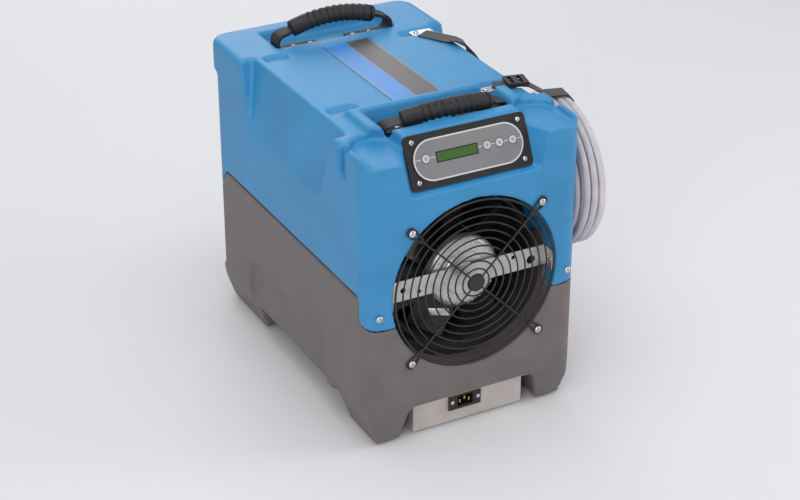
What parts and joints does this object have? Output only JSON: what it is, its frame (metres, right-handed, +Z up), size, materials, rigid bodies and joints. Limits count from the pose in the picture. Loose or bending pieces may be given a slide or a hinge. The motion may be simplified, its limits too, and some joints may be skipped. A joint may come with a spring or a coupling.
{
  "type": "portable dehumidifier",
  "caption": "Portable building-drying dehumidifier with front fan, tilted control panel, two strap handles, coiled drain hose and an inner rotary compressor.",
  "frame": {"origin": "on the floor under the middle of the housing", "axes": "+Z up, the fan faces -Y, +X to the hose side"},
  "size_m": [0.38, 0.512, 0.4675],
  "materials": {
    "blue_shell": "rotomoulded polyethylene, fine texture, satin",
    "grey_shell": "rotomoulded polyethylene, warm grey, fine texture",
    "black_rubber": "matte, moulded",
    "screw_steel": "bright zinc plated",
    "guard_wire": "black powder coat",
    "bar_zinc": "zinc plated strip",
    "motor_casting": "die cast, dull",
    "fan_plastic": "moulded, gloss",
    "shaft_steel": "ground",
    "black_plastic": "moulded, satin",
    "overlay_film": "grey printed film, pale outline",
    "display_glass": "green display window",
    "button_grey": "domed keys",
    "circuit_board": "green laminate",
    "clear_vinyl": "clear flexible vinyl, slightly milky",
    "black_webbing": "woven webbing",
    "label_film": "blank two-colour film",
    "filter_mesh": "pleated filter in a frame",
    "pan_metal": "zinc coated sheet",
    "pin_brass": "plated",
    "compressor_paint": "black semi-gloss paint",
    "motor_laminations": "laminated",
    "cast_iron": "machined",
    "coil_fins": "bare fins",
    "capacitor_can": "drawn can",
    "copper": "bare copper tube"
  },
  "bodies": {
    "root": {"upper_housing": "blue_shell", "lower_housing": "grey_shell", "foot_pads": "black_rubber", "housing_screws": "screw_steel", "fan_guard": "guard_wire", "fan_guard_screws": "screw_steel", "motor_bar": "bar_zinc", "motor_bar_screws": "screw_steel", "fan_motor": "motor_casting", "fan_ring": "black_plastic", "panel_bezel": "black_plastic", "panel_overlay": "overlay_film", "display_lens": "display_glass", "panel_screws": "screw_steel", "control_board": "circuit_board", "front_handle_strap": "black_rubber", "front_handle_grip": "black_rubber", "rear_handle_strap": "black_rubber", "rear_handle_grip": "black_rubber", "deck_screws": "screw_steel", "drain_hose_coil": "clear_vinyl", "hose_outlet_barb": "black_plastic", "drain_hose_lead": "clear_vinyl", "hose_end_fitting": "black_plastic", "strap_anchors": "screw_steel", "front_hose_strap": "black_webbing", "rear_hose_strap": "black_webbing", "strap_buckle": "black_plastic", "top_label": "label_film", "intake_grille": "black_plastic", "base_pan": "pan_metal", "power_inlet": "black_plastic", "inlet_pins": "pin_brass", "inlet_screws": "screw_steel", "compressor_shell": "compressor_paint", "compressor_top_cap": "compressor_paint", "compressor_bottom_cap": "compressor_paint", "compressor_grommets": "black_rubber", "compressor_studs": "screw_steel", "compressor_stator": "motor_laminations", "cylinder_block": "cast_iron", "vane": "shaft_steel", "main_bearing": "cast_iron", "lower_bearing": "cast_iron", "accumulator": "compressor_paint", "evaporator": "coil_fins", "condenser": "coil_fins", "condensate_pump": "black_plastic", "run_capacitor": "capacitor_can", "refrigerant_lines": "copper"},
    "fan": {"fan_impeller": "fan_plastic", "fan_shaft": "shaft_steel"},
    "power_key": {"power_button": "button_grey"},
    "menu_key": {"menu_button": "button_grey"},
    "up_key": {"up_button": "button_grey"},
    "down_key": {"down_button": "button_grey"},
    "crank": {"compressor_rotor": "motor_laminations", "crankshaft": "shaft_steel"},
    "piston": {"rolling_piston": "cast_iron"},
    "filter": {"air_filter": "filter_mesh"}
  },
  "joints": [
    {"name": "fan_spin", "type": "hinge", "parent": "root", "child": "fan", "pos_m": [0, -0.2, 0.222], "axis": [0, 1, 0], "continuous": true},
    {"name": "power_press", "type": "slide", "parent": "root", "child": "power_key", "axis": [0, 0.9026, -0.4305], "range_m": [0, 0.0008], "stiffness_N_per_m": 400},
    {"name": "menu_press", "type": "slide", "parent": "root", "child": "menu_key", "axis": [0, 0.9026, -0.4305], "range_m": [0, 0.0008], "stiffness_N_per_m": 400},
    {"name": "up_press", "type": "slide", "parent": "root", "child": "up_key", "axis": [0, 0.9026, -0.4305], "range_m": [0, 0.0008], "stiffness_N_per_m": 400},
    {"name": "down_press", "type": "slide", "parent": "root", "child": "down_key", "axis": [0, 0.9026, -0.4305], "range_m": [0, 0.0008], "stiffness_N_per_m": 400},
    {"name": "crank_spin", "type": "hinge", "parent": "root", "child": "crank", "pos_m": [0, -0.072, 0.1], "axis": [0, 0, 1], "continuous": true},
    {"name": "piston_roll", "type": "hinge", "parent": "crank", "child": "piston", "pos_m": [0, -0.0674, 0.088], "axis": [0, 0, 1], "continuous": true},
    {"name": "filter_pull", "type": "slide", "parent": "root", "child": "filter", "axis": [0, 1, 0], "range_m": [0, 0.06]}
  ]
}
